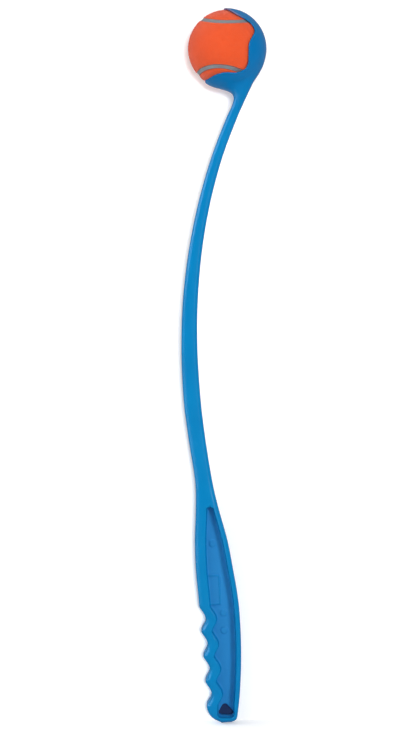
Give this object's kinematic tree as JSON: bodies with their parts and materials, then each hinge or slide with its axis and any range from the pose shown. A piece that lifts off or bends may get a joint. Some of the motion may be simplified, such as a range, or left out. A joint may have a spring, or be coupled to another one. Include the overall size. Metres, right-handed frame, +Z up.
{
  "type": "dog ball thrower",
  "caption": "Long bowed throwing arm with a ball cup at its top, a recessed finger-grooved handle with a hang hole, and a felt ball held in the cup.",
  "frame": {"origin": "middle of the hand grip, about halfway along the four finger grooves, in the thrower's mid plane", "axes": "+Z up the shaft towards the cup, +X to the palm side (away from the cup's mouth), -Y to the near side in the picture"},
  "size_m": [0.0749, 0.0668, 0.6271],
  "materials": {
    "blue_plastic": "satin moulded surface",
    "orange_felt": "short napped felt",
    "grey_rubber": "matte",
    "dark_rubber": "matte"
  },
  "bodies": {
    "thrower": {"thrower": "blue_plastic"},
    "ball": {"felt_panel_near": "orange_felt", "felt_panel_far": "orange_felt", "seam_strip": "grey_rubber", "core_half_near": "dark_rubber", "core_half_far": "dark_rubber"}
  },
  "joints": [
    {"name": "ball_release", "type": "slide", "parent": "thrower", "child": "ball", "axis": [-0.9668, 0, 0.2554], "range_m": [0, 0.06]}
  ]
}
